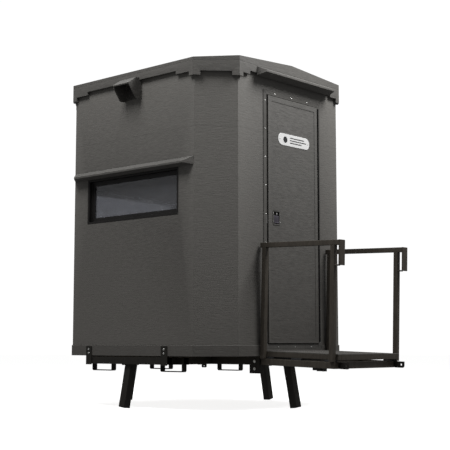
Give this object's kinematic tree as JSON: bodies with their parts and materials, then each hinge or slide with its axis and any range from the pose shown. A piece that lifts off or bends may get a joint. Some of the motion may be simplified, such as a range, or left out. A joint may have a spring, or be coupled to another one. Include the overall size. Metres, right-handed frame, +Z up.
{
  "type": "elevated field blind cabin",
  "caption": "Insulated octagonal cabin for watching wildlife, with a hinged door, tilting windows, a railed entry porch and stub legs for a tower.",
  "frame": {"origin": "centre of the whole part's box in plan, at the lowest points of the leg stubs", "axes": "+Z up; the door and the porch face -Y; +X to the right of a person who stands outside and faces the door, so the vent hood is on the -X wall"},
  "size_m": [2.049, 2.8454, 2.882],
  "materials": {
    "wall_panel": "fine woven texture, matt",
    "trim_panel": "fine texture, matt",
    "door_panel": "fine woven texture, matt",
    "foam": "rigid foam, matt",
    "liner": "low pile, matt",
    "floor_board": "sealed board",
    "mat": "matt",
    "seal": "matt",
    "dark_metal": "black powder coat",
    "sash_metal": "black powder coat",
    "door_frame": "dark powder coat",
    "tower_steel": "dark bronze powder coat",
    "porch_steel": "dark bronze powder coat",
    "grating": "powder coat, worn on top",
    "paddle": "satin",
    "plate": "brushed",
    "bright_metal": "zinc plated",
    "glass": "tinted, polished"
  },
  "bodies": {
    "cabin": {"wall_skins": "wall_panel", "wall_core": "foam", "wall_liner": "liner", "floor_panel": "floor_board", "floor_mat": "mat", "base_trim": "trim_panel", "roof_core": "foam", "roof_shell": "trim_panel", "fascia": "trim_panel", "ceiling_panel": "foam", "vent_hood": "trim_panel", "vent_screen": "dark_metal", "window_caps": "trim_panel", "door_awning": "trim_panel", "window_frames": "dark_metal", "window_hardware": "bright_metal", "door_frame": "door_frame", "frame_screws": "bright_metal", "door_seal": "seal", "hinge_frame_leaf": "dark_metal", "hinge_pin": "bright_metal", "strike": "bright_metal", "head_beams": "tower_steel", "head_bars": "tower_steel", "head_ties": "tower_steel", "tie_plates": "tower_steel", "tower_bolts": "bright_metal", "leg_stubs": "tower_steel", "leg_plates": "tower_steel", "fork_straps": "tower_steel", "lift_tabs": "tower_steel", "porch_frame": "porch_steel", "porch_pads": "seal", "porch_lugs": "tower_steel", "porch_brackets": "tower_steel", "hanger_blocks": "tower_steel", "deck_frame": "porch_steel", "deck_grate": "grating", "railing_left": "porch_steel", "railing_right": "porch_steel"},
    "door": {"door_slab": "door_panel", "door_skin": "liner", "hinge_door_leaf": "dark_metal", "name_plate": "plate", "door_fasteners": "bright_metal", "latch_dish": "dark_metal", "paddle_pin": "bright_metal", "key_cylinder": "bright_metal"},
    "paddle": {"latch_paddle": "paddle"},
    "nose": {"latch_nose": "bright_metal", "inside_knob": "dark_metal"},
    "window_left": {"sash_left": "sash_metal", "pane_left": "glass"},
    "turn_button_left": {"button_left": "bright_metal"},
    "window_right": {"sash_right": "sash_metal", "pane_right": "glass"},
    "turn_button_right": {"button_right": "bright_metal"},
    "window_back": {"sash_back": "sash_metal", "pane_back": "glass"},
    "turn_button_back": {"button_back": "bright_metal"}
  },
  "joints": [
    {"name": "door_hinge", "type": "hinge", "parent": "cabin", "child": "door", "pos_m": [0.412, -0.61877, 1.55603], "axis": [0, 0, 1], "range_deg": [0, 95]},
    {"name": "paddle_pivot", "type": "hinge", "parent": "door", "child": "paddle", "pos_m": [-0.158, -0.60427, 1.57603], "axis": [-1, 0, 0], "range_deg": [0, 35], "stiffness_Nm_per_rad": 0.5, "springref_deg": -5.73},
    {"name": "nose_slide", "type": "slide", "parent": "door", "child": "nose", "axis": [1, 0, 0], "range_m": [0, 0.012]},
    {"name": "window_left_hinge", "type": "hinge", "parent": "cabin", "child": "window_left", "pos_m": [-0.8105, 0.37723, 1.92303], "axis": [0, -1, 0], "range_deg": [0, 85]},
    {"name": "window_right_hinge", "type": "hinge", "parent": "cabin", "child": "window_right", "pos_m": [0.8905, 0.37723, 1.92303], "axis": [0, 1, 0], "range_deg": [0, 85]},
    {"name": "window_back_hinge", "type": "hinge", "parent": "cabin", "child": "window_back", "pos_m": [0.04, 1.28873, 1.92303], "axis": [-1, 0, 0], "range_deg": [0, 85]},
    {"name": "turn_button_left_pivot", "type": "hinge", "parent": "cabin", "child": "turn_button_left", "pos_m": [-0.815, 0.37723, 1.56903], "axis": [-1, 0, 0], "range_deg": [0, 90]},
    {"name": "turn_button_right_pivot", "type": "hinge", "parent": "cabin", "child": "turn_button_right", "pos_m": [0.895, 0.37723, 1.56903], "axis": [1, 0, 0], "range_deg": [0, 90]},
    {"name": "turn_button_back_pivot", "type": "hinge", "parent": "cabin", "child": "turn_button_back", "pos_m": [0.04, 1.29223, 1.56903], "axis": [0, 1, 0], "range_deg": [0, 90]}
  ],
  "couplings": [
    {"joint": "nose_slide", "follows": "paddle_pivot", "m_per_rad": 0.0196}
  ]
}
